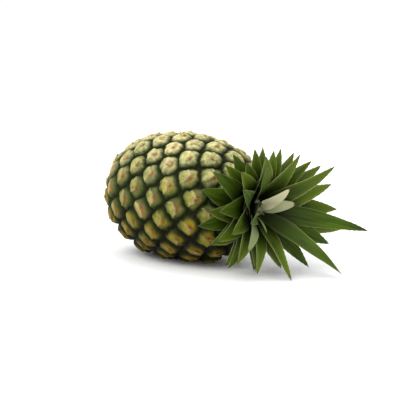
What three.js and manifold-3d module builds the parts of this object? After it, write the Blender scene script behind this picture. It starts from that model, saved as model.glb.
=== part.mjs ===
// A pineapple lying on its side, crown toward +X, up is +Z, millimetres.
// Origin: on the small flat spot it rests on, under the middle of the fruit.
import * as THREE from 'three';
import { ConvexHull } from 'three/addons/math/ConvexHull.js';
import { mergeVertices } from 'three/addons/utils/BufferGeometryUtils.js';
import Module from 'manifold-3d';

const wasm = await Module();
wasm.setup();

// fruit body
const FRUIT_HALF_LENGTH = 86;
const FRUIT_RADIUS = 61.5;
const FRUIT_FULLNESS = 2.5; // 2 would be a plain ellipse
const FRUIT_AXIS_HEIGHT = 61; // a little under the outer radius, so that one eye is pressed flat
const NECK_X = 84; // flat seat of the crown
const HEEL_X = -84.5; // flat seat of the stalk

// eyes
const EYE_COUNT = 140;
const GOLDEN_ANGLE = THREE.MathUtils.degToRad(137.508);
const REST_EYE = 72; // the eye the fruit lies on
const GROOVE_DEPTH = 2.4;
const SHIELD_HEIGHT = 0.9;
const BEAK_HEIGHT = 2.2;
const BEAK_REACH = 2.6; // the raised tip of an eye lies toward the crown

// stalk and crown stem
const STALK_RADIUS = 14;
const STALK_LENGTH = 7;
const STEM_RADIUS = 15;
const STEM_HEIGHT = 19;
const SEAT_GAP = 0.3;

// crown leaves, outermost first
const OUTER_LEAVES = 48;
const FIRST_TURN = 194; // degrees, where the first leaf stands round the stem
const CROWN_LEAN = 4; // degrees, the crown opens toward -Y and closes toward +Y
const LONGEST_TURN = -14; // the side on which the crown has grown longest
const TOP_SEAT = 58; // degrees up the stem's dome, where the last grown leaf stands
const HEART_SEAT = 62; // and the first leaf of the heart
const HEART_STEP = 3.4;
// leaves that have grown longer or shorter than their neighbours, by number
const GROWTH = { 9: 0.92, 19: 1.25, 23: 1.3, 36: 0.87, 39: 0.86 };
const LEAF_STATIONS = 8;
const LEAF_CHANNEL = 25; // radius of the trough across a grown leaf

// the short leaves of the heart, in degrees and millimetres; sharpness shapes the outline's end
const HEART_LEAVES = [
  { turn: 301, start: 20, end: 52, length: 98, halfWidth: 10, sharpness: 1 },
  { turn: 232, start: 17, end: 46, length: 32, halfWidth: 4.6, sharpness: 1 },
  { turn: 150, start: 14, end: 42, length: 24, halfWidth: 4.2, sharpness: 1 },
  { turn: 14, start: 20, end: 46, length: 33, halfWidth: 7, sharpness: 0.6 },
  { turn: 67, start: 12, end: 49, length: 38, halfWidth: 10.4, sharpness: 0.9 },
  { turn: 212, start: 3, end: 20, length: 14, halfWidth: 3, sharpness: 1 },
];

const rad = THREE.MathUtils.degToRad;
const lerp = THREE.MathUtils.lerp;
const smooth = THREE.MathUtils.smoothstep;

function fruitRadiusAt(x) {
  const t = Math.min(Math.abs(x) / FRUIT_HALF_LENGTH, 1);
  return FRUIT_RADIUS * (1 - t ** FRUIT_FULLNESS) ** (1 / FRUIT_FULLNESS);
}

// stations along the fruit that share its skin out equally
function equalSkinStations(count) {
  const steps = 4000;
  const xs = [-FRUIT_HALF_LENGTH];
  const area = [0];
  for (let i = 1; i <= steps; i++) {
    // closer steps at the steep ends
    const x = -FRUIT_HALF_LENGTH * Math.cos((Math.PI * i) / steps);
    const dr = fruitRadiusAt(x) - fruitRadiusAt(xs[i - 1]);
    const mid = (fruitRadiusAt(x) + fruitRadiusAt(xs[i - 1])) / 2;
    xs.push(x);
    area.push(area[i - 1] + mid * Math.hypot(x - xs[i - 1], dr));
  }
  const found = [];
  let j = 0;
  for (let k = 0; k < count; k++) {
    const want = ((k + 0.5) / count) * area[steps];
    while (area[j + 1] < want) j++;
    found.push(lerp(xs[j], xs[j + 1], (want - area[j]) / (area[j + 1] - area[j])));
  }
  return found;
}

// a point pushed onto the fruit's smooth skin, then out by height
function onSkin(point, height) {
  const r = Math.hypot(point.y, point.z);
  const size =
    ((Math.abs(point.x) / FRUIT_HALF_LENGTH) ** FRUIT_FULLNESS + (r / FRUIT_RADIUS) ** FRUIT_FULLNESS) **
    (1 / FRUIT_FULLNESS);
  const skin = point.clone().divideScalar(size);
  return skin.addScaledVector(skinNormal(skin), height);
}

function skinNormal(p) {
  const r = Math.max(Math.hypot(p.y, p.z), 1e-6);
  const gx = (Math.sign(p.x) * (Math.abs(p.x) / FRUIT_HALF_LENGTH) ** (FRUIT_FULLNESS - 1)) / FRUIT_HALF_LENGTH;
  const gr = (r / FRUIT_RADIUS) ** (FRUIT_FULLNESS - 1) / FRUIT_RADIUS;
  return new THREE.Vector3(gx, (gr * p.y) / r, (gr * p.z) / r).normalize();
}

// triangles gathered as plain corners, joined afterwards
function solidFrom(corners) {
  const flat = [];
  for (const p of corners) flat.push(p.x, p.y, p.z);
  const loose = new THREE.BufferGeometry();
  loose.setAttribute('position', new THREE.Float32BufferAttribute(flat, 3));
  const joined = mergeVertices(loose, 1e-4);
  const at = joined.attributes.position;
  const index = joined.index.array;
  const a = new THREE.Vector3();
  const b = new THREE.Vector3();
  const c = new THREE.Vector3();
  let volume = 0;
  for (let i = 0; i < index.length; i += 3) {
    a.fromBufferAttribute(at, index[i]);
    b.fromBufferAttribute(at, index[i + 1]);
    c.fromBufferAttribute(at, index[i + 2]);
    volume += a.dot(b.cross(c));
  }
  if (volume < 0) {
    for (let i = 0; i < index.length; i += 3) [index[i], index[i + 1]] = [index[i + 1], index[i]];
  }
  joined.computeVertexNormals();
  return joined;
}

function toManifold(geometry) {
  return new wasm.Manifold(
    new wasm.Mesh({
      numProp: 3,
      vertProperties: new Float32Array(geometry.attributes.position.array),
      triVerts: new Uint32Array(geometry.index.array),
    }),
  );
}

function fromManifold(manifold) {
  const mesh = manifold.getMesh();
  const geometry = new THREE.BufferGeometry();
  geometry.setAttribute('position', new THREE.Float32BufferAttribute(mesh.vertProperties, 3));
  geometry.setIndex([...mesh.triVerts]);
  geometry.computeVertexNormals();
  return geometry;
}

// The fruit: every eye is one cell between its neighbours, sunk grooves round it,
// a low shield on it and a blunt beak at its middle.
function fruitGeometry() {
  const centres = equalSkinStations(EYE_COUNT).map((x, k) => {
    const turn = (k - REST_EYE) * GOLDEN_ANGLE - Math.PI / 2;
    const r = fruitRadiusAt(x);
    return new THREE.Vector3(x, r * Math.cos(turn), r * Math.sin(turn));
  });
  const poles = [new THREE.Vector3(-FRUIT_HALF_LENGTH, 0, 0), new THREE.Vector3(FRUIT_HALF_LENGTH, 0, 0)];
  const sites = [...centres, ...poles];
  const hull = new ConvexHull().setFromPoints(sites);

  const groovesOf = new Map(sites.map((site) => [site, []]));
  for (const face of hull.faces) {
    const ring = [face.edge, face.edge.next, face.edge.next.next].map((e) => e.head().point);
    const middle = ring[0].clone().add(ring[1]).add(ring[2]).divideScalar(3);
    const groove = onSkin(middle, -GROOVE_DEPTH);
    for (const site of ring) groovesOf.get(site).push(groove);
  }

  const corners = [];
  for (const site of sites) {
    const isPole = poles.includes(site);
    const normal = skinNormal(site);
    const across = new THREE.Vector3(1, 0, 0).cross(normal);
    if (across.length() < 1e-3) across.set(0, 1, 0);
    across.normalize();
    const along = normal.clone().cross(across);
    const bearing = (p) => Math.atan2(p.clone().sub(site).dot(across), p.clone().sub(site).dot(along));
    const rim = groovesOf.get(site).sort((p, q) => bearing(p) - bearing(q));
    const ringAt = (share, height) => rim.map((p) => onSkin(site.clone().lerp(p, share), height));
    const shoulder = ringAt(0.8, isPole ? -1 : 0);
    const shield = ringAt(0.42, isPole ? 0 : SHIELD_HEIGHT);
    const beak = isPole
      ? onSkin(site, 0)
      : onSkin(site.clone().addScaledVector(along, BEAK_REACH), BEAK_HEIGHT);
    for (let j = 0; j < rim.length; j++) {
      const n = (j + 1) % rim.length;
      corners.push(rim[j], rim[n], shoulder[n], rim[j], shoulder[n], shoulder[j]);
      corners.push(shoulder[j], shoulder[n], shield[n], shoulder[j], shield[n], shield[j]);
      corners.push(shield[j], shield[n], beak);
    }
  }
  const round = toManifold(solidFrom(corners)).translate([0, 0, FRUIT_AXIS_HEIGHT]);
  const trimmed = round
    .trimByPlane([0, 0, 1], 0)
    .trimByPlane([-1, 0, 0], -NECK_X)
    .trimByPlane([1, 0, 0], HEEL_X);
  return fromManifold(trimmed);
}

// a turned solid about the fruit's axis from [x, radius] pairs, closed at both ends
function turned(outline, sides) {
  const corners = [];
  const at = ([x, r], k) => {
    const turn = (k / sides) * 2 * Math.PI;
    return new THREE.Vector3(x, r * Math.cos(turn), FRUIT_AXIS_HEIGHT + r * Math.sin(turn));
  };
  for (let k = 0; k < sides; k++) {
    for (let i = 0; i + 1 < outline.length; i++) {
      const [p, q] = [outline[i], outline[i + 1]];
      if (q[1] > 0) corners.push(at(p, k), at(q, k), at(q, k + 1));
      if (p[1] > 0) corners.push(at(p, k), at(q, k + 1), at(p, k + 1));
    }
  }
  return solidFrom(corners);
}

function stalkGeometry() {
  const far = HEEL_X - SEAT_GAP - STALK_LENGTH;
  return turned(
    [
      [far + 1.2, 0],
      [far + 0.5, 7],
      [far, STALK_RADIUS - 1.6],
      [far + 0.8, STALK_RADIUS - 0.4],
      [HEEL_X - SEAT_GAP - 2, STALK_RADIUS],
      [HEEL_X - SEAT_GAP, STALK_RADIUS + 0.6],
      [HEEL_X - SEAT_GAP, 0],
    ],
    28,
  );
}

const stemFoot = NECK_X + SEAT_GAP;

function stemRadiusAt(rise) {
  return STEM_RADIUS * Math.sqrt(Math.max(1 - (rise / STEM_HEIGHT) ** 2, 0));
}

function stemGeometry() {
  const outline = [[stemFoot, 0]];
  for (let i = 0; i <= 7; i++) {
    const rise = STEM_HEIGHT * Math.sin((i / 8) * (Math.PI / 2));
    outline.push([stemFoot + rise, stemRadiusAt(rise)]);
  }
  outline.push([stemFoot + STEM_HEIGHT, 0]);
  return turned(outline, 28);
}

// small steady irregularity, the same on every run
function uneven(k, salt) {
  const v = Math.sin(k * 12.9898 + salt * 78.233) * 43758.5453;
  return 2 * (v - Math.floor(v)) - 1;
}

// leaf k: 0 is the outermost, turned back over the shoulder; the last ones stand in the heart
function leafPlan(k) {
  const riseAt = (seat) => 1.5 + (STEM_HEIGHT - 1.5) * Math.sin(rad(seat));
  if (k >= OUTER_LEAVES) {
    const heart = HEART_LEAVES[k - OUTER_LEAVES];
    const [turn, start, end] = [rad(heart.turn), rad(heart.start), rad(heart.end)];
    const rise = riseAt(HEART_SEAT + HEART_STEP * (k - OUTER_LEAVES));
    return { ...heart, turn, start, end, rise, unfurl: 0.35, thickness: 0.8, sway: 0 };
  }
  const t = k / (OUTER_LEAVES - 1);
  const rise = riseAt(lerp(4, TOP_SEAT, t));
  const turn = rad(FIRST_TURN) + k * GOLDEN_ANGLE;
  const open = rad(CROWN_LEAN) * Math.cos(turn - Math.PI) * (1 - 0.4 * t);
  const start = rad(lerp(64, 26, t)) + 0.5 * open;
  const end = rad(lerp(116, 60, t) + 3 * (1 - 0.6 * t) * uneven(k, 1)) + open;
  const [level, up] = [Math.cos(turn), Math.sin(turn)];
  const longest = Math.max(Math.cos(turn - rad(LONGEST_TURN)), 0) ** 12;
  const spread = 60 + 12 * level ** 2 + 5 * level - 2.5 * up - 3 * t + 10 * longest;
  const reach = spread * (1 + 0.07 * uneven(k, 2)) - stemRadiusAt(rise);
  return {
    turn,
    rise,
    start,
    end,
    length: ((GROWTH[k + 1] ?? 1) * reach) / Math.sin(lerp(start, end, 0.56)),
    unfurl: 0.6,
    halfWidth: lerp(11.4, 12.4, smooth(t, 0.2, 0.7)) * lerp(1, 0.8, smooth(t, 0.75, 1)) * (1 + 0.06 * uneven(k, 3)),
    sharpness: 1,
    sway: rad(6 * uneven(k, 4)),
    thickness: lerp(1.3, 0.8, t),
  };
}

function leafGeometry(plan) {
  const bottom = [];
  const top = [];
  let x = stemFoot + plan.rise;
  let r = stemRadiusAt(plan.rise) + SEAT_GAP + 0.4;
  const rings = [];
  const fine = 10;
  for (let i = 0; i <= LEAF_STATIONS * fine; i++) {
    const u = i / (LEAF_STATIONS * fine);
    const bend = lerp(plan.start, plan.end, u ** 0.9);
    if (i % fine === 0) rings.push({ u, x, r, bend });
    x += (plan.length / (LEAF_STATIONS * fine)) * Math.cos(bend);
    r += (plan.length / (LEAF_STATIONS * fine)) * Math.sin(bend);
  }
  for (const ring of rings) {
    const turn = plan.turn + plan.sway * ring.u ** 2;
    const out = new THREE.Vector3(0, Math.cos(turn), Math.sin(turn));
    const side = new THREE.Vector3(0, -Math.sin(turn), Math.cos(turn));
    const upper = new THREE.Vector3(Math.sin(ring.bend), 0, 0).addScaledVector(out, -Math.cos(ring.bend));
    const centre = new THREE.Vector3(ring.x, 0, FRUIT_AXIS_HEIGHT).addScaledVector(out, ring.r);
    const outline = Math.max(1 - ring.u ** 2.2, 0) ** plan.sharpness;
    const half = plan.halfWidth * outline * lerp(0.7, 1, smooth(ring.u, 0, 0.35));
    const hug = Math.cos(ring.bend) / ring.r;
    const curve = lerp(hug, 1 / LEAF_CHANNEL, smooth(ring.u, 0.1, plan.unfurl));
    const thick = plan.thickness * lerp(1, 0.45, ring.u);
    const at = (share, depth) => {
      const a = share * half * curve;
      return centre
        .clone()
        .addScaledVector(side, Math.sin(a) / curve)
        .addScaledVector(upper, (1 - Math.cos(a)) / curve - depth);
    };
    top.push([-1, -0.55, 0, 0.55, 1].map((share) => at(share, share * share === 1 ? thick / 2 : 0)));
    bottom.push([-0.55, 0, 0.55].map((share) => at(share, thick)));
  }
  const tip = top.pop()[2];
  bottom.pop();
  const loops = top.map((row, i) => [...row, ...bottom[i].toReversed()]);
  const corners = [];
  const count = loops[0].length;
  for (let j = 0; j < count; j++) {
    const n = (j + 1) % count;
    for (let i = 0; i + 1 < loops.length; i++) {
      corners.push(loops[i][j], loops[i][n], loops[i + 1][n]);
      corners.push(loops[i][j], loops[i + 1][n], loops[i + 1][j]);
    }
    corners.push(loops.at(-1)[j], loops.at(-1)[n], tip);
  }
  const foot = loops[0][2].clone().lerp(loops[0][6], 0.5);
  for (let j = 0; j < count; j++) corners.push(loops[0][(j + 1) % count], loops[0][j], foot);
  return solidFrom(corners);
}

// a leaf that would go through the table is shorter, so that its tip ends on it
function leafOnTable(k) {
  const plan = leafPlan(k);
  let geometry = leafGeometry(plan);
  geometry.computeBoundingBox();
  while (geometry.boundingBox.min.z < 0) {
    plan.length -= 0.5;
    geometry = leafGeometry(plan);
    geometry.computeBoundingBox();
  }
  return geometry;
}

function look(color, roughness) {
  return new THREE.MeshStandardMaterial({ color, roughness, metalness: 0 });
}

const pineapple = new THREE.Group();
pineapple.name = 'pineapple';

function add(name, geometry, material) {
  const mesh = new THREE.Mesh(geometry, material);
  mesh.name = name;
  pineapple.add(mesh);
}

add('fruit', fruitGeometry(), look(0x9a8c3e, 0.6));
add('cut_stalk', stalkGeometry(), look(0xb9a878, 0.85));
add('crown_stem', stemGeometry(), look(0xa9b27a, 0.8));
for (let k = 0; k < OUTER_LEAVES; k++) {
  add(`crown_leaf_${String(k + 1).padStart(2, '0')}`, leafOnTable(k), look(0x5c7a33, 0.5));
}
HEART_LEAVES.forEach((_, i) => {
  add(`heart_leaf_${i + 1}`, leafOnTable(OUTER_LEAVES + i), look(0xc3cf9a, 0.6));
});

export default pineapple;
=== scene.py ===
import math
import bpy
import numpy as np
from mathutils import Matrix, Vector, noise


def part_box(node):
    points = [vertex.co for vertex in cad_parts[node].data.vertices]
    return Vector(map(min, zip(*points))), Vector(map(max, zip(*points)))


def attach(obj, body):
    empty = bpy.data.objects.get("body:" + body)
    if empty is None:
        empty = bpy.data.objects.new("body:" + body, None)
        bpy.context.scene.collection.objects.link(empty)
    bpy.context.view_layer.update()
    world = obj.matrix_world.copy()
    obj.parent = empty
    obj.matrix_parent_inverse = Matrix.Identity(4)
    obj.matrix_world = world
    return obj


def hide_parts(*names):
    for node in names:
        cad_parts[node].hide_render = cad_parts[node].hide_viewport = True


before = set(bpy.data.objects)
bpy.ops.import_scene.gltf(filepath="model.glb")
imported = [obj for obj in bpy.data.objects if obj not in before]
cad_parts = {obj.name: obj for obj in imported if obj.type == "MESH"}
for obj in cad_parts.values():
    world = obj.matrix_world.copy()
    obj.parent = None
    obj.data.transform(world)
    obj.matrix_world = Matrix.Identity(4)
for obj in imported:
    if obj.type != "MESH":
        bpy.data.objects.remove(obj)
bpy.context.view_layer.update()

scene = bpy.context.scene
mm = 0.001
goldenAngle = math.radians(137.508)
print("frame loaded,", len(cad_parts), "nodes")


# small helpers
def lerp(a, b, t):
    return a + (b - a) * t


def smooth(x, low, high):
    t = np.clip((x - low) / (high - low), 0, 1)
    return t * t * (3 - 2 * t)


def hump(x, width):
    return np.exp(-((x / width) ** 2))


def deselectAll():
    bpy.ops.object.select_all(action="DESELECT")


def pick(piece):
    deselectAll()
    piece.select_set(True)
    bpy.context.view_layer.objects.active = piece


def coords(mesh):
    flat = np.empty(len(mesh.vertices) * 3, np.float32)
    mesh.vertices.foreach_get("co", flat)
    return flat.reshape(-1, 3).astype(np.float64)


def moveVerts(mesh, points):
    mesh.vertices.foreach_set("co", np.asarray(points, np.float32).ravel())
    mesh.update()


def noiseAt(points, scale, shift=(0, 0, 0)):
    return np.array([noise.noise(Vector(p) * scale + Vector(shift)) for p in points])


def storeValues(mesh, **values):
    for name, value in values.items():
        layer = mesh.attributes.new(name, "FLOAT", "POINT")
        layer.data.foreach_set("value", np.asarray(value, np.float32).ravel())


def finishPiece(piece, slotName, *nodes):
    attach(piece, "root")
    if nodes:
        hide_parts(*nodes)


# material helpers
def newMaterial(name):
    material = bpy.data.materials.new(name)
    material.use_nodes = True
    tree = material.node_tree
    return material, tree, tree.nodes["Principled BSDF"]


def put(tree, kind, inputs=None, **settings):
    made = tree.nodes.new("ShaderNode" + kind)
    for key, value in settings.items():
        setattr(made, key, value)
    for key, value in (inputs or {}).items():
        if isinstance(value, bpy.types.NodeSocket):
            tree.links.new(value, made.inputs[key])
        else:
            made.inputs[key].default_value = value
    return made


def objectCoords(tree):
    return put(tree, "TexCoord").outputs["Object"]


def attribute(tree, name):
    return put(tree, "Attribute", attribute_name=name).outputs["Fac"]


def calc(tree, operation, a, b):
    return put(tree, "Math", {0: a, 1: b}, operation=operation).outputs[0]


def times(tree, *factors):
    product = factors[0]
    for factor in factors[1:]:
        product = calc(tree, "MULTIPLY", product, factor)
    return product


def spread(tree, value, low, high, toLow=0.0, toHigh=1.0):
    inputs = {"Value": value, "From Min": low, "From Max": high, "To Min": toLow, "To Max": toHigh}
    return put(tree, "MapRange", inputs).outputs["Result"]


def speckle(tree, vector, scale, detail=3.0, rough=0.55, distortion=0.0):
    inputs = {"Vector": vector, "Scale": scale, "Detail": detail, "Roughness": rough}
    inputs["Distortion"] = distortion
    return put(tree, "TexNoise", inputs).outputs["Fac"]


def mixed(tree, factor, a, b, blend="MIX"):
    made = tree.nodes.new("ShaderNodeMix")
    made.data_type = "RGBA"
    made.blend_type = blend
    for socket, value in ((made.inputs[0], factor), (made.inputs[6], a), (made.inputs[7], b)):
        if isinstance(value, bpy.types.NodeSocket):
            tree.links.new(value, socket)
        elif isinstance(value, tuple):
            socket.default_value = (*value, 1.0)
        else:
            socket.default_value = value
    return made.outputs[2]


def ramp(tree, value, *stops):
    made = put(tree, "ValToRGB", {"Fac": value})
    band = made.color_ramp.elements
    while len(band) < len(stops):
        band.new(0.5)
    for element, (place, colour) in zip(band, stops):
        element.position = place
        element.color = (*colour, 1.0)
    return made.outputs["Color"]


def bumped(tree, shader, *layers):
    below = None
    for height, distance, strength in layers:
        inputs = {"Height": height, "Distance": distance, "Strength": strength}
        if below is not None:
            inputs["Normal"] = below
        below = put(tree, "Bump", inputs).outputs["Normal"]
    tree.links.new(below, shader.inputs["Normal"])


# the fruit is a turned body whose eyes stand in a golden spiral
fruit = {
    "halfLength": 86 * mm,
    "radius": 61.5 * mm,
    "fullness": 2.5,
    "axisHeight": 61 * mm,
    "neckX": 84 * mm,
    "heelX": -84.5 * mm,
    "eyes": 140,
    "restEye": 72,  # this eye faces the table
    "segments": 400,
    "rings": 240,
    "seed": 7,
    "tiltSpread": 0.14,  # radians
    "sizeSpread": 0.12,
    "neighbours": 6,
    # lengths below are in millimetres
    "cornerRound": 1.8,
    "cornerFill": 0.35,
    "raggedness": 1.8,
    "raggedScale": 190,
    "raggedShifts": ((17, 3, 5), (2, 29, 11), (7, 13, 37)),
    "grooveDepth": 2.8,
    "cushionRise": 4.6,
    "cushionReach": 6.0,
    "cushionPower": 2.4,
    "flapTip": 1.8,  # how far past the eye's middle its dry flap reaches
    "flapSweep": 0.11,
    "flapFoot": 0.35,
    "flapStep": 1.25,
    "ridgeWidth": 2.6,
    "ridgeRise": 0.55,
    "lipRise": 0.3,
    "dishDepth": 0.8,
    "dishRadius": 2.0,
    "lobeRise": 0.45,
    "ripple": 0.09,
    "waveRise": 0.28,
    "grainRise": 0.12,
    "dentRise": 0.8,
    "endFlatness": 0.7,
}


def fruitRadius(x):
    t = np.clip(np.abs(x) / fruit["halfLength"], 0, 1)
    return fruit["radius"] * (1 - t ** fruit["fullness"]) ** (1 / fruit["fullness"])


def skinNormals(points):
    n = fruit["fullness"] - 1
    long, wide = fruit["halfLength"], fruit["radius"]
    r = np.maximum(np.hypot(points[:, 1], points[:, 2]), 1e-9)
    gx = np.sign(points[:, 0]) * (np.abs(points[:, 0]) / long) ** n / long
    gr = (r / wide) ** n / wide
    normals = np.stack([gx, gr * points[:, 1] / r, gr * points[:, 2] / r], 1)
    return normals / np.linalg.norm(normals, axis=1)[:, None]


def eyeCentres():
    # each eye has the same share of the skin's area
    steps = 4000
    x = -fruit["halfLength"] * np.cos(np.pi * np.arange(steps + 1) / steps)
    r = fruitRadius(x)
    area = np.concatenate([[0], np.cumsum((r[1:] + r[:-1]) / 2 * np.hypot(np.diff(x), np.diff(r)))])
    k = np.arange(fruit["eyes"])
    at = np.interp((k + 0.5) / fruit["eyes"] * area[-1], area, x)
    turn = (k - fruit["restEye"]) * goldenAngle - math.pi / 2
    around = fruitRadius(at)
    return np.stack([at, around * np.cos(turn), around * np.sin(turn)], 1)


def eyeFrames(centres):
    normals = skinNormals(centres)
    along = np.array([1.0, 0, 0]) - normals * normals[:, :1]
    along /= np.linalg.norm(along, axis=1)[:, None]
    return normals, along, np.cross(normals, along)


def turnedSkin(unit):
    # even steps along the side of the fruit, pole to pole along X
    theta = np.linspace(0, math.pi, 2001)
    xs = -fruit["halfLength"] * np.cos(theta)
    rs = fruitRadius(xs)
    run = np.concatenate([[0], np.cumsum(np.hypot(np.diff(xs), np.diff(rs)))])
    share = np.arccos(np.clip(-unit[:, 2], -1, 1)) / math.pi
    x = np.interp(share * run[-1], run, xs)
    around = np.arctan2(unit[:, 1], unit[:, 0])
    r = fruitRadius(x)
    return np.stack([x, r * np.cos(around), r * np.sin(around)], 1)


def nearestEye(site, centres):
    # distance to the border with each near neighbour, the least of them rounded together
    squares = (site**2).sum(1)[:, None] - 2 * site @ centres.T + (centres**2).sum(1)[None]
    squares = squares / mm**2
    count = fruit["neighbours"]
    near = np.argpartition(squares, count, axis=1)[:, : count + 1]
    order = np.take_along_axis(squares, near, 1).argsort(1)
    near = np.take_along_axis(near, order, 1)
    close = np.take_along_axis(squares, near, 1)
    own = near[:, 0]
    gaps = np.linalg.norm(centres[near[:, 1:]] - centres[own][:, None], axis=2) / mm
    borders = (close[:, 1:] - close[:, :1]) / (2 * gaps)
    soft = fruit["cornerRound"]
    least = -soft * np.log(np.exp(-borders / soft).sum(1))
    return own, np.maximum(fruit["cornerFill"] + least, 0)


def makeFruit():
    deselectAll()
    bpy.ops.mesh.primitive_uv_sphere_add(
        segments=fruit["segments"], ring_count=fruit["rings"], radius=1
    )
    skin = bpy.context.object
    skin.name = "fruit_skin"
    base = turnedSkin(coords(skin.data))
    normals = skinNormals(base)

    centres = eyeCentres()
    eyeNormal, eyeAlong, eyeAcross = eyeFrames(centres)
    rng = np.random.default_rng(fruit["seed"])
    eyeSeed = rng.random(len(centres))
    eyeTilt = rng.normal(0, fruit["tiltSpread"], len(centres))
    eyeSize = 1 + rng.normal(0, fruit["sizeSpread"], len(centres))

    scale, shifts = fruit["raggedScale"], fruit["raggedShifts"]
    warp = np.stack([noiseAt(base, scale, shift) for shift in shifts], 1)
    site = base + warp * fruit["raggedness"] * mm
    own, edge = nearestEye(site, centres)

    # where a point is on its own eye: u toward the crown, w round the fruit, millimetres
    offset = (site - centres[own]) / mm
    u0 = (offset * eyeAlong[own]).sum(1)
    w0 = (offset * eyeAcross[own]).sum(1)
    turn = eyeTilt[own]
    u = u0 * np.cos(turn) - w0 * np.sin(turn)
    w = u0 * np.sin(turn) + w0 * np.cos(turn)

    wave = noiseAt(base, 260)
    grain = noiseAt(base, 900, (9, 3, 1))
    dent = noiseAt(base, 38)

    rise = 1 - (1 - np.clip(edge / fruit["cushionReach"], 0, 1)) ** fruit["cushionPower"]
    height = -fruit["grooveDepth"] + fruit["cushionRise"] * rise * eyeSize[own]
    # the flap rises toward its tip and ends in a step
    sweep = fruit["flapTip"] - u - fruit["flapSweep"] * np.abs(w) ** 1.9 + 1.3 * wave
    flap = smooth(sweep, -0.35, 0.35)
    inside = smooth(edge, 0.5, 3.0)
    ridge = hump(w, fruit["ridgeWidth"]) * smooth(u, -7.5, fruit["flapTip"])
    slope = lerp(fruit["flapFoot"], fruit["flapStep"], smooth(u, -7, 1))
    height += flap * inside * (slope + fruit["ridgeRise"] * ridge)
    lip = hump(sweep - 0.7, 0.75) * inside
    height += fruit["lipRise"] * lip
    # a smooth lobe lies beyond the step, with a dish where the flower was
    hollow = np.hypot(u - fruit["flapTip"] - 1.6, 0.85 * w)
    dish = hump(hollow, fruit["dishRadius"]) * (1 - flap)
    lobe = (1 - flap) * inside
    height += -fruit["dishDepth"] * dish + fruit["lobeRise"] * lobe * hump(hollow - 3.4, 1.5)
    height += fruit["ripple"] * lobe * np.sin(hollow * 5.2 + 3 * wave)
    height += fruit["waveRise"] * wave + fruit["grainRise"] * grain + fruit["dentRise"] * dent
    nearEnds = smooth(np.abs(base[:, 0]) / fruit["halfLength"], 0.95, 0.99)
    height *= 1 - fruit["endFlatness"] * nearEnds

    points = base + normals * (height * mm)[:, None]
    points[:, 0] = np.clip(points[:, 0], fruit["heelX"], fruit["neckX"])
    points[:, 2] = np.maximum(points[:, 2] + fruit["axisHeight"], 0)
    moveVerts(skin.data, points)
    storeValues(
        skin.data,
        edge=edge,
        eyeU=u,
        eyeSeed=eyeSeed[own],
        flap=flap,
        lip=lip,
        dish=dish,
        topness=smooth(normals[:, 2], 0.15, 0.95),
        lowness=smooth(-normals[:, 2], -0.25, 0.8),
    )
    pick(skin)
    bpy.ops.object.shade_smooth()
    skin.data.materials.append(rindMaterial())
    finishPiece(skin, "rind", "fruit")
    print("fruit skin,", len(skin.data.polygons), "faces")
    return centres, eyeNormal, eyeAlong, eyeAcross, eyeSeed


rind = {
    # painted shade: the first stops, near black, stand in for the shade down in the grooves
    "shadedGrooveToRim": (
        (0.0, (0.008, 0.010, 0.002)),
        (0.10, (0.013, 0.019, 0.003)),
        (0.24, (0.030, 0.046, 0.007)),
        (0.46, (0.072, 0.092, 0.017)),
        (0.76, (0.135, 0.130, 0.033)),
        (1.0, (0.190, 0.150, 0.045)),
    ),
    "flapFootToTip": (
        (0.0, (0.230, 0.255, 0.055)),
        (0.35, (0.470, 0.430, 0.150)),
        (0.72, (0.540, 0.400, 0.150)),
        (1.0, (0.330, 0.150, 0.040)),
    ),
    "greyLobe": (0.170, 0.145, 0.080),
    "ripeLobe": (0.400, 0.300, 0.012),
    "lobePatch": (0.055, 0.075, 0.022),
    "ripeFlap": (0.400, 0.330, 0.018),
    "flapPatch": (0.085, 0.100, 0.026),
    "creamLip": (0.600, 0.480, 0.260),
    # painted light: the pale tone laid on the eyes that face up
    "paleTopLight": (0.800, 0.720, 0.430),
    "rust": (0.380, 0.130, 0.015),
    # painted shade: the two tones below darken the lower part of the fruit
    "lowGrooveShade": (0.010, 0.012, 0.003),
    "lowShade": (0.25, 0.22, 0.0),
    "freckle": (0.085, 0.055, 0.018),
    "driftDark": (0.66, 0.74, 0.55),
    "driftLight": (1.0, 0.98, 0.86),
    "specular": 0.1,
}


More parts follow.
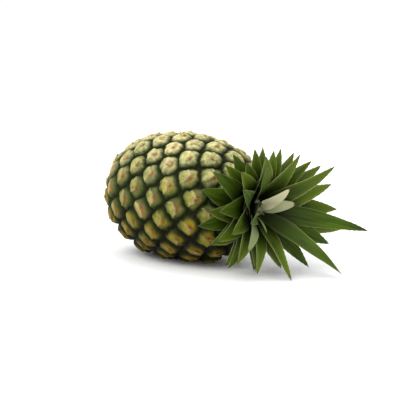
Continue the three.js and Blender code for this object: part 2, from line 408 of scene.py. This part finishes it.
def rindMaterial():
    material, tree, shader = newMaterial("pineapple rind")
    place = objectCoords(tree)
    edge = attribute(tree, "edge")
    flap = attribute(tree, "flap")
    high = attribute(tree, "topness")
    low = attribute(tree, "lowness")
    blotch = speckle(tree, place, 260, 4, 0.6)
    fine = speckle(tree, place, 1100, 3, 0.6)
    broad = speckle(tree, place, 28, 2, 0.5)
    patchy = speckle(tree, place, 90, 3, 0.6)

    # groove to rim: the groove's own dark green, deepened to near black as painted shade in the
    # recess
    ragged = times(tree, calc(tree, "SUBTRACT", blotch, 0.5), 2.6)
    depth = spread(tree, calc(tree, "ADD", edge, ragged), 0.0, 8.0)
    body = ramp(tree, depth, *rind["shadedGrooveToRim"])
    # the lobe on the crown side of the tip: greyish tan, or golden where the eye is riper
    ripe = calc(tree, "ADD", times(tree, attribute(tree, "eyeSeed"), 0.7), low)
    ripe = spread(tree, ripe, 0.30, 1.0)
    lobeTone = mixed(tree, ripe, rind["greyLobe"], rind["ripeLobe"])
    lobeTone = mixed(tree, spread(tree, patchy, 0.38, 0.62, 0.0, 0.7), lobeTone, rind["lobePatch"])
    lobe = times(tree, calc(tree, "SUBTRACT", 1.0, flap), spread(tree, edge, 2.2, 5.4, 0.0, 0.9))
    body = mixed(tree, lobe, body, lobeTone)
    # the dry flap on the other side, green at its foot and tan at its tip
    alongFlap = spread(tree, attribute(tree, "eyeU"), -7.0, 3.0)
    flapTone = ramp(tree, alongFlap, *rind["flapFootToTip"])
    flapTone = mixed(tree, times(tree, ripe, 0.65), flapTone, rind["ripeFlap"])
    flapTone = mixed(tree, spread(tree, patchy, 0.42, 0.66, 0.0, 0.75), flapTone, rind["flapPatch"])
    mottled = spread(tree, blotch, 0.25, 0.6, 0.45, 0.95)
    flapShare = times(tree, flap, spread(tree, edge, 1.6, 4.6), mottled)
    body = mixed(tree, flapShare, body, flapTone)
    body = mixed(tree, times(tree, attribute(tree, "lip"), 0.55), body, rind["creamLip"])
    # painted light: a pale tone on the eyes that face up, where the light from above falls
    mottled = spread(tree, blotch, 0.34, 0.62, 0.15, 0.9)
    topLight = times(tree, high, spread(tree, edge, 1.2, 4.5), mottled)
    body = mixed(tree, topLight, body, rind["paleTopLight"])
    # rusty middle
    rust = times(tree, attribute(tree, "dish"), spread(tree, fine, 0.3, 0.6, 0.55, 1.0))
    body = mixed(tree, rust, body, rind["rust"])
    # painted shade: darker underneath, near black toward the grooves of the lower eyes; then
    # freckles, and a slow drift of tone
    lowRimShade = times(tree, low, spread(tree, edge, 6.4, 2.4), 0.9)
    body = mixed(tree, lowRimShade, body, rind["lowGrooveShade"])
    shaded = mixed(tree, 1.0, body, rind["lowShade"], "MULTIPLY")
    body = mixed(tree, times(tree, low, 0.62), body, shaded)
    body = mixed(tree, spread(tree, fine, 0.60, 0.70, 0.0, 0.6), body, rind["freckle"])
    drift = mixed(tree, spread(tree, broad, 0.3, 0.7), rind["driftDark"], rind["driftLight"])
    body = mixed(tree, 1.0, body, drift, "MULTIPLY")
    tree.links.new(body, shader.inputs["Base Color"])
    tree.links.new(spread(tree, blotch, 0.3, 0.7, 0.50, 0.75), shader.inputs["Roughness"])
    shader.inputs["Specular IOR Level"].default_value = rind["specular"]
    bumped(tree, shader, (patchy, 0.0009, 0.6), (blotch, 0.0007, 0.7), (fine, 0.00025, 0.5))
    return material


# the small dry tip that stands on each eye
bractTip = {
    "sides": 8,
    "length": 6.2 * mm,
    "width": 3.0 * mm,
    "point": 0.12 * mm,
    "thick": 0.75 * mm,
    "curl": 1.5 * mm,
    "sink": 0.7 * mm,
    "setBack": 3.0 * mm,
    "swing": 0.5,  # radians
    "clearTable": 0.3 * mm,
    "lastEye": 0.95,  # share of the half length past which an eye has no tip
    "footTone": (0.50, 0.40, 0.20),
    "middleTone": (0.30, 0.20, 0.085),
    "pointTone": (0.075, 0.050, 0.030),
    "grainTone": (0.16, 0.11, 0.06),
    "roughness": 0.72,
}


def tipBlank():
    deselectAll()
    bpy.ops.mesh.primitive_cone_add(
        vertices=bractTip["sides"], radius1=bractTip["width"] / 2, radius2=bractTip["point"],
        depth=bractTip["length"], rotation=(0, math.pi / 2, 0),
    )
    tip = bpy.context.object
    bpy.ops.object.transform_apply(location=False, rotation=True, scale=True)
    bpy.ops.object.mode_set(mode="EDIT")
    bpy.ops.mesh.select_all(action="SELECT")
    bpy.ops.mesh.subdivide(number_cuts=2)
    bpy.ops.object.mode_set(mode="OBJECT")
    shape = coords(tip.data)
    far = shape[:, 0] / bractTip["length"] + 0.5
    shape[:, 0] = far * bractTip["length"]
    shape[:, 2] = shape[:, 2] * bractTip["thick"] / bractTip["width"] + bractTip["curl"] * far**2
    moveVerts(tip.data, shape)
    return tip, shape, far


def makeBractTips(centres, eyeNormal, eyeAlong, eyeAcross, eyeSeed):
    tip, shape, far = tipBlank()
    lift = (fruit["cushionRise"] - fruit["grooveDepth"] + fruit["flapStep"]) * mm
    lift -= bractTip["sink"]
    back = fruit["flapTip"] * mm - bractTip["setBack"]
    copies = []
    for i, centre in enumerate(centres):
        if abs(centre[0]) > bractTip["lastEye"] * fruit["halfLength"]:
            continue
        size = 0.75 + 0.5 * eyeSeed[i]
        foot = centre + eyeAlong[i] * back + eyeNormal[i] * lift
        swing = bractTip["swing"] * math.sin(i * 5.3)
        ahead = eyeAlong[i] * math.cos(swing) + eyeAcross[i] * math.sin(swing)
        beside = np.cross(eyeNormal[i], ahead)
        spreadOut = shape[:, :1] * ahead + shape[:, 1:2] * beside + shape[:, 2:] * eyeNormal[i]
        points = foot + size * spreadOut
        points[:, 2] += fruit["axisHeight"]
        if points[:, 2].min() < bractTip["clearTable"]:
            continue
        copy = tip.copy()
        copy.data = tip.data.copy()
        scene.collection.objects.link(copy)
        moveVerts(copy.data, points)
        storeValues(copy.data, far=far)
        copies.append(copy)
    bpy.data.objects.remove(tip)
    pick(copies[0])
    for copy in copies:
        copy.select_set(True)
    bpy.ops.object.join()
    tips = bpy.context.object
    tips.name = "bract_tips"
    bpy.ops.object.shade_smooth()
    tips.data.materials.append(tipMaterial())
    finishPiece(tips, "rind")
    print("bract tips,", len(copies))


def tipMaterial():
    material, tree, shader = newMaterial("dry bract tip")
    grain = speckle(tree, objectCoords(tree), 900, 3)
    stops = (0.0, bractTip["footTone"]), (0.45, bractTip["middleTone"]), (1.0, bractTip["pointTone"])
    dry = ramp(tree, attribute(tree, "far"), *stops)
    dry = mixed(tree, spread(tree, grain, 0.35, 0.65, 0.0, 0.5), dry, bractTip["grainTone"])
    tree.links.new(dry, shader.inputs["Base Color"])
    shader.inputs["Roughness"].default_value = bractTip["roughness"]
    bumped(tree, shader, (grain, 0.0003, 0.5))
    return material


# the crown, with lengths in millimetres and angles in degrees
crown = {
    "stemFoot": 84.3,
    "stemRadius": 15.0,
    "stemHeight": 19.0,
    "lowestSeat": 1.5,
    "seatGap": 0.7,
    "outer": 48,
    "firstTurn": 194.0,
    "lean": 4.0,
    "longestTurn": -14.0,
    "growth": {9: 0.92, 19: 1.25, 23: 1.3, 36: 0.87, 39: 0.86},  # leaf number, share of length
    "paleLeaf": 43,
    "topSeat": 58.0,
    "heartSeat": 62.0,
    "heartStep": 3.4,
    "channel": 25.0,
    "across": 12,
    "along": 44,
    "toothEvery": 5.0,
    "toothSize": 0.55,
    "midribRise": 0.35,
    "midribWidth": 0.16,
    "edgeWave": 0.6,
    "shorten": 0.5,
    "bendSteps": 80,
    # turn, start, end, length, half width, sharpness, paleness
    "heart": (
        (301, 20, 52, 98, 10, 1, 0),
        (232, 17, 46, 32, 4.6, 1, 0.4),
        (150, 14, 42, 24, 4.2, 1, 0.45),
        (14, 20, 46, 33, 7, 0.6, 0.7),
        (67, 12, 49, 38, 10.4, 0.9, 1),
        (212, 3, 20, 14, 3, 1, 0.6),
    ),
}


def uneven(k, salt):
    v = math.sin(k * 12.9898 + salt * 78.233) * 43758.5453
    return 2 * (v - math.floor(v)) - 1


def stemRadius(rise):
    return crown["stemRadius"] * math.sqrt(max(1 - (rise / crown["stemHeight"]) ** 2, 0))


def riseAt(seat):
    low = crown["lowestSeat"]
    return low + (crown["stemHeight"] - low) * math.sin(math.radians(seat))


def heartLeafPlan(i):
    turn, start, end, length, halfWidth, sharpness, pale = crown["heart"][i]
    return {
        "turn": math.radians(turn),
        "start": math.radians(start),
        "end": math.radians(end),
        "rise": riseAt(crown["heartSeat"] + crown["heartStep"] * i),
        "length": length,
        "halfWidth": halfWidth,
        "sharpness": sharpness,
        "unfurl": 0.35,
        "sway": 0,
        "thickness": 0.8,
        "pale": pale,
        "teeth": 0,
    }


def outerLeafPlan(k):
    t = k / (crown["outer"] - 1)
    turn = math.radians(crown["firstTurn"]) + k * goldenAngle
    rise = riseAt(lerp(4, crown["topSeat"], t))
    opened = math.radians(crown["lean"]) * math.cos(turn - math.pi) * (1 - 0.4 * t)
    start = math.radians(lerp(64, 26, t)) + 0.5 * opened
    end = math.radians(lerp(116, 60, t) + 3 * (1 - 0.6 * t) * uneven(k, 1)) + opened
    # how far out from the fruit's axis the tip comes
    level, up = math.cos(turn), math.sin(turn)
    longest = max(math.cos(turn - math.radians(crown["longestTurn"])), 0) ** 12
    reach = 60 + 12 * level**2 + 5 * level - 2.5 * up - 3 * t + 10 * longest
    reach = reach * (1 + 0.07 * uneven(k, 2)) - stemRadius(rise)
    narrow = lerp(1, 0.8, smooth(t, 0.75, 1))
    wide = lerp(11.4, 12.4, smooth(t, 0.2, 0.7))
    return {
        "turn": turn,
        "rise": rise,
        "start": start,
        "end": end,
        "length": crown["growth"].get(k + 1, 1) * reach / math.sin(lerp(start, end, 0.56)),
        "unfurl": 0.6,
        "halfWidth": wide * narrow * (1 + 0.06 * uneven(k, 3)),
        "sharpness": 1,
        "sway": math.radians(6 * uneven(k, 4)),
        "thickness": lerp(1.3, 0.8, t),
        "pale": 0.4 if k + 1 == crown["paleLeaf"] else 0,
        "teeth": 1,
    }


def leafPlan(k):
    inHeart = k >= crown["outer"]
    plan = heartLeafPlan(k - crown["outer"]) if inHeart else outerLeafPlan(k)
    return plan | {"seed": 0.5 + 0.5 * uneven(k, 5), "wave": uneven(k, 6)}


def bladePoints(plan, u, share, layer):
    # the middle line bends outwards from the stem as it goes
    steps = crown["bendSteps"]
    grid = np.arange(steps + 1) / steps
    bend = lerp(plan["start"], plan["end"], grid**0.9)
    step = plan["length"] / steps
    run = np.concatenate([[0], np.cumsum(step * np.cos(bend[:-1]))])
    climb = np.concatenate([[0], np.cumsum(step * np.sin(bend[:-1]))])
    x = crown["stemFoot"] + plan["rise"] + run
    r = stemRadius(plan["rise"]) + crown["seatGap"] + climb
    x, r, bend = np.interp(u, grid, x), np.interp(u, grid, r), np.interp(u, grid, bend)
    turn = plan["turn"] + plan["sway"] * u**2
    out = np.stack([np.zeros_like(u), np.cos(turn), np.sin(turn)], 1)
    side = np.stack([np.zeros_like(u), -np.sin(turn), np.cos(turn)], 1)
    upper = -out * np.cos(bend)[:, None]
    upper[:, 0] = np.sin(bend)
    centre = out * r[:, None]
    centre[:, 0] = x
    centre[:, 2] += fruit["axisHeight"] / mm
    outline = np.maximum(1 - u**2.2, 0) ** plan["sharpness"]
    half = plan["halfWidth"] * outline * lerp(0.7, 1, smooth(u, 0, 0.35))
    # small forward-pointing teeth on the outer half of the margin
    saw = (u * plan["length"] / crown["toothEvery"]) % 1.0
    tooth = plan["teeth"] * crown["toothSize"] * saw**1.5
    tooth = tooth * smooth(u, 0.25, 0.5) * smooth(1 - u, 0.0, 0.06)
    across = share * half + np.sign(share) * tooth * (np.abs(share) > 0.98)
    # clasping the stem at the foot, an open channel further out
    curve = lerp(np.cos(bend) / r, 1 / crown["channel"], smooth(u, 0.1, plan["unfurl"]))
    thick = plan["thickness"] * lerp(1, 0.45, u)
    depth = layer * thick * (0.28 + 0.72 * (1 - share**2))
    depth += crown["midribRise"] * hump(share, crown["midribWidth"]) * (1 - 0.4 * u)
    ripple = np.abs(share) ** 3 * np.sin(u * plan["length"] / 7 + share) * smooth(u, 0.2, 0.6)
    depth += crown["edgeWave"] * plan["wave"] * ripple
    angle = across * curve
    sideways = side * (np.sin(angle) / curve)[:, None]
    lifted = upper * ((1 - np.cos(angle)) / curve - depth)[:, None]
    return (centre + sideways + lifted) * mm, across


def leafBlank():
    # flat, as wide as it is long, with a top and an under side
    deselectAll()
    bpy.ops.mesh.primitive_grid_add(
        x_subdivisions=crown["across"], y_subdivisions=crown["along"], size=2
    )
    blank = bpy.context.object
    shell = blank.modifiers.new("thickness", "SOLIDIFY")
    shell.thickness = 1
    shell.offset = -1
    bpy.ops.object.modifier_apply(modifier="thickness")
    return blank


def underside(face):
    if face.normal.z < -0.5:
        return 1.0
    return 0.0 if face.normal.z > 0.5 else 0.5


def makeLeaves():
    # every leaf is a copy of one blank, laid on its own curve
    blank = leafBlank()
    flat = coords(blank.data)
    share = np.clip(flat[:, 0], -1, 1)
    u = np.clip((flat[:, 1] + 1) / 2, 0, 1)
    layer = np.clip(-flat[:, 2], 0, 1)
    under = np.array([underside(face) for face in blank.data.polygons], np.float32)
    blade = leafMaterial()
    total = crown["outer"] + len(crown["heart"])
    for k in range(total):
        plan = leafPlan(k)
        points, across = bladePoints(plan, u, share, layer)
        while points[:, 2].min() < 0:  # shorten a leaf that would go through the table
            plan["length"] -= crown["shorten"]
            points, across = bladePoints(plan, u, share, layer)
        leaf = blank.copy()
        leaf.data = blank.data.copy()
        leaf.name = "leaf_%02d" % (k + 1)
        scene.collection.objects.link(leaf)
        moveVerts(leaf.data, points)
        storeValues(
            leaf.data,
            across=across,
            lengthwise=u * plan["length"],
            along=u,
            margin=np.abs(share),
            pale=np.full(len(u), plan["pale"]),
            leafSeed=np.full(len(u), plan["seed"]),
        )
        face = leaf.data.attributes.new("under", "FLOAT", "FACE")
        face.data.foreach_set("value", under)
        pick(leaf)
        bpy.ops.object.mode_set(mode="EDIT")
        bpy.ops.mesh.select_all(action="SELECT")
        bpy.ops.mesh.remove_doubles(threshold=0.02 * mm)
        bpy.ops.mesh.normals_make_consistent(inside=False)
        bpy.ops.object.mode_set(mode="OBJECT")
        bpy.ops.object.shade_smooth_by_angle(angle=math.radians(50))
        leaf.data.materials.append(blade)
        if k < crown["outer"]:
            finishPiece(leaf, "crown_leaf", "crown_leaf_%02d" % (k + 1))
        else:
            finishPiece(leaf, "heart_leaf", "heart_leaf_%d" % (k + 1 - crown["outer"]))
    bpy.data.objects.remove(blank)
    print("crown leaves,", total)


leafTones = {
    "dark": (0.012, 0.030, 0.001),
    "light": (0.058, 0.102, 0.003),
    "vein": (0.036, 0.074, 0.006),
    "lightStripe": (0.075, 0.122, 0.004),
    "darkStripe": (0.012, 0.030, 0.002),
    "glow": (0.155, 0.205, 0.012),
    "underDark": (0.060, 0.085, 0.028),
    "underLight": (0.150, 0.190, 0.085),
    "creamLight": (0.74, 0.68, 0.46),
    "creamDark": (0.58, 0.56, 0.34),
    "youngDark": (0.26, 0.31, 0.13),
    "youngLight": (0.40, 0.44, 0.24),
    # painted highlight: pale tone for the line of light along some leaf margins
    "margin": (0.46, 0.52, 0.24),
    # painted shade: near black for the foot of each leaf, in the shade deep inside the crown
    "foot": (0.010, 0.015, 0.004),
    "sunny": (0.130, 0.178, 0.012),
    "dryTip": (0.10, 0.075, 0.05),
    "specular": 0.13,
}


def leafMaterial():
    material, tree, shader = newMaterial("crown leaf")
    across = attribute(tree, "across")
    lengthwise = attribute(tree, "lengthwise")
    seed = attribute(tree, "leafSeed")
    along = attribute(tree, "along")
    margin = attribute(tree, "margin")
    pale = attribute(tree, "pale")
    shift = times(tree, seed, 90)

    def drawnOut(acrossScale, alongScale):
        vector = {0: times(tree, across, acrossScale), 1: times(tree, lengthwise, alongScale)}
        return put(tree, "CombineXYZ", vector | {2: shift}).outputs[0]

    # fine veins, wide patches and long stripes, all running with the blade
    vein = speckle(tree, drawnOut(1.6, 0.035), 1.4, 4, 0.6)
    patch = speckle(tree, drawnOut(0.16, 0.05), 1.0, 4, 0.6)
    stripe = speckle(tree, drawnOut(0.55, 0.012), 1.0, 3, 0.55)
    veined = spread(tree, vein, 0.3, 0.7)

    tone = leafTones
    upper = mixed(tree, spread(tree, patch, 0.3, 0.7), tone["dark"], tone["light"])
    upper = mixed(tree, spread(tree, vein, 0.35, 0.65, 0.0, 0.6), upper, tone["vein"])
    upper = mixed(tree, spread(tree, stripe, 0.40, 0.62, 0.0, 0.55), upper, tone["lightStripe"])
    upper = mixed(tree, spread(tree, stripe, 0.46, 0.30, 0.0, 0.5), upper, tone["darkStripe"])
    glow = times(tree, seed, spread(tree, margin, 0.2, 1.0))
    upper = mixed(tree, spread(tree, glow, 0.2, 0.9, 0.0, 0.7), upper, tone["glow"])
    lower = mixed(tree, veined, tone["underDark"], tone["underLight"])
    blade = mixed(tree, attribute(tree, "under"), upper, lower)
    # the young leaves of the heart are grey-green to cream
    cream = mixed(tree, veined, tone["creamLight"], tone["creamDark"])
    young = mixed(tree, veined, tone["youngDark"], tone["youngLight"])
    heartTone = mixed(tree, spread(tree, pale, 0.6, 1.0), young, cream)
    blade = mixed(tree, spread(tree, pale, 0.0, 0.6, 0.0, 0.95), blade, heartTone)
    # painted highlight: a pale line along the margins of some leaves, where light catches the thick
    # leaf edge
    paintedEdgeHighlight = times(tree, spread(tree, margin, 0.93, 0.985), spread(tree, seed, 0.3, 0.8, 0.35, 0.95))
    blade = mixed(tree, paintedEdgeHighlight, blade, tone["margin"])
    # painted shade: dark at the foot, deep inside the crown; sunny toward the end, dry at the very
    # tip
    foot = spread(tree, along, 0.62, 0.12, 0.0, 0.92)
    foot = times(tree, foot, spread(tree, pale, 0.0, 1.0, 1.0, 0.25))
    blade = mixed(tree, foot, blade, tone["foot"])
    sunny = times(tree, spread(tree, along, 0.5, 0.95), spread(tree, seed, 0.2, 0.9, 0.0, 0.6))
    sunny = times(tree, sunny, calc(tree, "SUBTRACT", 1.0, pale))
    blade = mixed(tree, sunny, blade, tone["sunny"])
    tipped = calc(tree, "ADD", along, times(tree, patch, 0.06))
    blade = mixed(tree, spread(tree, tipped, 0.955, 1.01), blade, tone["dryTip"])
    tree.links.new(blade, shader.inputs["Base Color"])
    tree.links.new(spread(tree, patch, 0.3, 0.7, 0.42, 0.60), shader.inputs["Roughness"])
    shader.inputs["Specular IOR Level"].default_value = tone["specular"]
    bumped(tree, shader, (vein, 0.0003, 0.6), (patch, 0.0004, 0.2))
    return material


# the stem inside the crown keeps its shape and gets its own finish
stem = {"dark": (0.20, 0.23, 0.09), "light": (0.42, 0.43, 0.24), "roughness": 0.7}


def finishStem():
    material, tree, shader = newMaterial("crown stem")
    grain = speckle(tree, objectCoords(tree), 500, 4)
    tone = mixed(tree, spread(tree, grain, 0.3, 0.7), stem["dark"], stem["light"])
    tree.links.new(tone, shader.inputs["Base Color"])
    shader.inputs["Roughness"].default_value = stem["roughness"]
    bumped(tree, shader, (grain, 0.0004, 0.5))
    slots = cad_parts["crown_stem"].data.materials
    slots.clear()
    slots.append(material)
    print("crown stem finished")


# the sawn stub under the fruit
stalk = {
    "sides": 72,
    "cuts": 5,
    "rimRound": 1.1 * mm,
    "sawMarks": 0.12 * mm,
    "dish": 0.5 * mm,
    "roughness": 0.35 * mm,
    "skin": 13.1 * mm,  # radius where the green skin begins
    "skinBlend": 0.5 * mm,
    "raggedRings": 3.5 * mm,
    "core": 4.5 * mm,
    "rings": (9.5 * mm, 12.0 * mm),
    "darkWood": (0.40, 0.29, 0.14),
    "lightWood": (0.60, 0.48, 0.28),
    "stain": (0.26, 0.15, 0.06),
    "pore": (0.13, 0.075, 0.03),
    "coreTone": (0.66, 0.56, 0.36),
    "ringTone": (0.19, 0.12, 0.05),
    "skinTone": (0.085, 0.085, 0.028),
    "specular": 0.2,
}


def makeStalk():
    low, high = (Vector(corner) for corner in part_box("cut_stalk"))
    radius, length = (high.z - low.z) / 2, high.x - low.x
    deselectAll()
    bpy.ops.mesh.primitive_cylinder_add(
        vertices=stalk["sides"], radius=radius, depth=length, end_fill_type="TRIFAN",
        location=(low + high) / 2, rotation=(0, math.pi / 2, 0),
    )
    piece = bpy.context.object
    piece.name = "stalk_end"
    bpy.ops.object.transform_apply(location=True, rotation=True, scale=True)
    bpy.ops.object.mode_set(mode="EDIT")
    bpy.ops.mesh.select_all(action="SELECT")
    bpy.ops.mesh.subdivide(number_cuts=stalk["cuts"])
    bpy.ops.object.mode_set(mode="OBJECT")
    points = coords(piece.data)
    y, z = points[:, 1], points[:, 2] - fruit["axisHeight"]
    out = np.hypot(y, z)
    angle = np.arctan2(z, y)
    cut = points[:, 0] < low.x + 0.01 * mm
    rough = noiseAt(points, 420)
    # rounded rim, a slight dish, and the marks of the saw
    points[:, 0] += cut * stalk["rimRound"] * smooth(out / radius, 0.88, 1.0) ** 2
    points[:, 0] += cut * stalk["dish"] * (1 - (out / radius) ** 2)
    points[:, 0] += cut * stalk["roughness"] * (rough + 0.6)
    saw = 1 + np.sin(y / mm * 2.4 + 0.4 * np.sin(z / mm))
    points[:, 0] += cut * stalk["sawMarks"] * saw
    lumps = 0.02 + 0.02 * np.sin(5 * angle + 1) + 0.012 * np.sin(17 * angle)
    squeeze = 1 - smooth(out / radius, 0.5, 1.0) * lumps
    points[:, 1] = y * squeeze
    points[:, 2] = z * squeeze + fruit["axisHeight"]
    moveVerts(piece.data, points)
    storeValues(piece.data, out=out)
    bpy.ops.object.shade_smooth_by_angle(angle=math.radians(40))
    piece.data.materials.append(stalkMaterial())
    finishPiece(piece, "cut_stalk", "cut_stalk")
    print("stalk end,", len(piece.data.polygons), "faces")


def stalkMaterial():
    material, tree, shader = newMaterial("cut stalk")
    place = objectCoords(tree)
    out = attribute(tree, "out")
    grain = speckle(tree, place, 420, 4)
    stain = speckle(tree, place, 110, 4, 0.6, 0.6)
    pores = put(tree, "TexVoronoi", {"Vector": place, "Scale": 620}).outputs["Distance"]
    shift = times(tree, calc(tree, "SUBTRACT", stain, 0.5), stalk["raggedRings"])
    ragged = calc(tree, "ADD", out, shift)
    tone = mixed(tree, spread(tree, grain, 0.3, 0.7), stalk["darkWood"], stalk["lightWood"])
    tone = mixed(tree, spread(tree, stain, 0.48, 0.68, 0.0, 0.75), tone, stalk["stain"])
    tone = mixed(tree, spread(tree, pores, 0.0, 0.42, 0.85, 0.0), tone, stalk["pore"])
    core = spread(tree, ragged, 0.0, stalk["core"], 0.45, 0.0)
    tone = mixed(tree, core, tone, stalk["coreTone"])
    tone = mixed(tree, spread(tree, ragged, *stalk["rings"], 0.0, 0.7), tone, stalk["ringTone"])
    skin = spread(tree, out, stalk["skin"], stalk["skin"] + stalk["skinBlend"])
    tone = mixed(tree, skin, tone, stalk["skinTone"])
    tree.links.new(tone, shader.inputs["Base Color"])
    tree.links.new(spread(tree, grain, 0.3, 0.7, 0.75, 0.92), shader.inputs["Roughness"])
    shader.inputs["Specular IOR Level"].default_value = stalk["specular"]
    bumped(tree, shader, (grain, 0.0006, 0.6), (pores, 0.0005, 0.6))
    return material


# floor, light and camera, with angles in degrees and lengths in metres
studio = {
    "azimuth": 47.0,
    "elevation": 9.0,
    "distance": 1.25,
    "lens": 112.5,
    "sensor": 36,
    "farthest": 50,
    "aside": 0.0155,  # how far the aim is to the right of the fruit's middle
    "below": 0.0035,  # and how far below it
    "floorSize": 60.0,
    "floorTone": (0.93, 0.93, 0.93, 1),
    "sun": 1.3,
    "sunSpread": 35.0,
    "sunFrom": (0.5, 0.75, 1.25),  # toward the camera, to its left, up
    "sky": 1.6,
    # height, brightness
    "skyBands": ((0.0, 0.64), (0.035, 0.64), (0.07, 0.34), (0.3, 0.5), (0.8, 1.0)),
}


def makeCamera():
    a, e = math.radians(studio["azimuth"]), math.radians(studio["elevation"])
    back = Vector((math.sin(a) * math.cos(e), -math.cos(a) * math.cos(e), math.sin(e)))
    right = Vector((math.cos(a), math.sin(a), 0))
    up = back.cross(right)
    middle = Vector((0, 0, fruit["axisHeight"]))
    aim = middle + right * studio["aside"] - up * studio["below"]
    camera = bpy.data.objects.new("camera", bpy.data.cameras.new("camera"))
    camera.data.lens = studio["lens"]
    camera.data.sensor_width = studio["sensor"]
    camera.data.clip_end = studio["farthest"]
    camera.location = aim + back * studio["distance"]
    camera.rotation_euler = back.to_track_quat("Z", "Y").to_euler()
    scene.collection.objects.link(camera)
    scene.camera = camera
    return back, right


def makeFloor():
    deselectAll()
    bpy.ops.mesh.primitive_plane_add(size=studio["floorSize"])
    floor = bpy.context.object
    floor.name = "floor"
    material, tree, shader = newMaterial("floor")
    shader.inputs["Base Color"].default_value = studio["floorTone"]
    shader.inputs["Roughness"].default_value = 0.6
    shader.inputs["Specular IOR Level"].default_value = 0.1
    floor.data.materials.append(material)


def makeLight(back, right):
    # one broad soft light from the upper left, and a bright tent overhead
    toward, left, up = studio["sunFrom"]
    flatBack = Vector((back.x, back.y, 0)).normalized()
    lampFrom = flatBack * toward - right * left + Vector((0, 0, up))
    sun = bpy.data.objects.new("sun", bpy.data.lights.new("sun", "SUN"))
    sun.data.energy = studio["sun"]
    sun.data.angle = math.radians(studio["sunSpread"])
    sun.rotation_euler = lampFrom.to_track_quat("Z", "Y").to_euler()
    scene.collection.objects.link(sun)
    world = bpy.data.worlds.new("studio")
    world.use_nodes = True
    tree = world.node_tree
    sky = tree.nodes["Background"]
    facing = put(tree, "SeparateXYZ", {"Vector": put(tree, "TexCoord").outputs["Generated"]})
    bands = ((height, (bright,) * 3) for height, bright in studio["skyBands"])
    tree.links.new(ramp(tree, facing.outputs["Z"], *bands), sky.inputs["Color"])
    sky.inputs["Strength"].default_value = studio["sky"]
    scene.world = world


def makeStudio():
    back, right = makeCamera()
    makeFloor()
    makeLight(back, right)
    scene.view_settings.view_transform = "Standard"
    scene.view_settings.look = "None"
    print("studio set")


eyes = makeFruit()
makeBractTips(*eyes)
makeLeaves()
makeStalk()
finishStem()
makeStudio()
